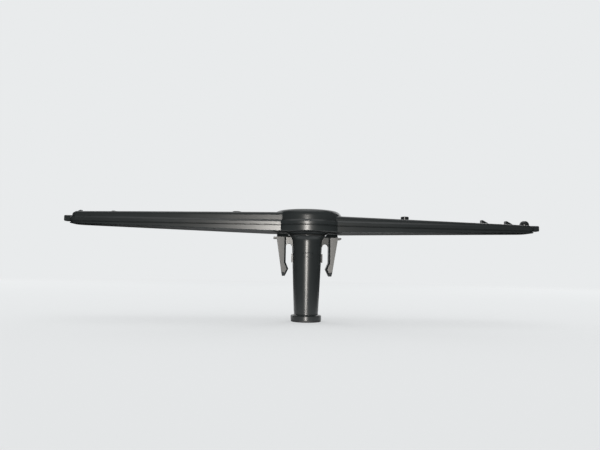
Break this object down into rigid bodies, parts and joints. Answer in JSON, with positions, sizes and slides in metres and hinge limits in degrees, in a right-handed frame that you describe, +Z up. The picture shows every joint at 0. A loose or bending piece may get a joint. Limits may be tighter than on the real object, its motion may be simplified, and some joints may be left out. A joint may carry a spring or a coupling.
{
  "type": "dishwasher spray arm",
  "caption": "Two-armed dishwasher spray arm with top nozzles that spins on a tapered clip-in feed tube with side hooks.",
  "frame": {"origin": "centre of the feed tube's lower end, on the spin axis", "axes": "+Z up along the spin axis, +X along one arm"},
  "size_m": [0.4715, 0.073, 0.1083],
  "materials": {
    "arm_plastic": "satin moulded",
    "tube_plastic": "satin moulded",
    "bush_plastic": "natural",
    "washer_acetal": "moulded",
    "ring_steel": "brushed",
    "seal_rubber": "matt"
  },
  "bodies": {
    "holder": {"feed_tube": "tube_plastic", "end_seal": "seal_rubber", "lower_thrust_washer": "washer_acetal", "upper_thrust_washer": "washer_acetal", "retaining_ring": "ring_steel"},
    "arm": {"upper_shell": "arm_plastic", "lower_shell": "arm_plastic", "bearing_bush": "bush_plastic"}
  },
  "joints": [
    {"name": "arm_spin", "type": "hinge", "parent": "holder", "child": "arm", "pos_m": [0, 0, 0.0924], "axis": [0, 0, 1], "continuous": true}
  ]
}
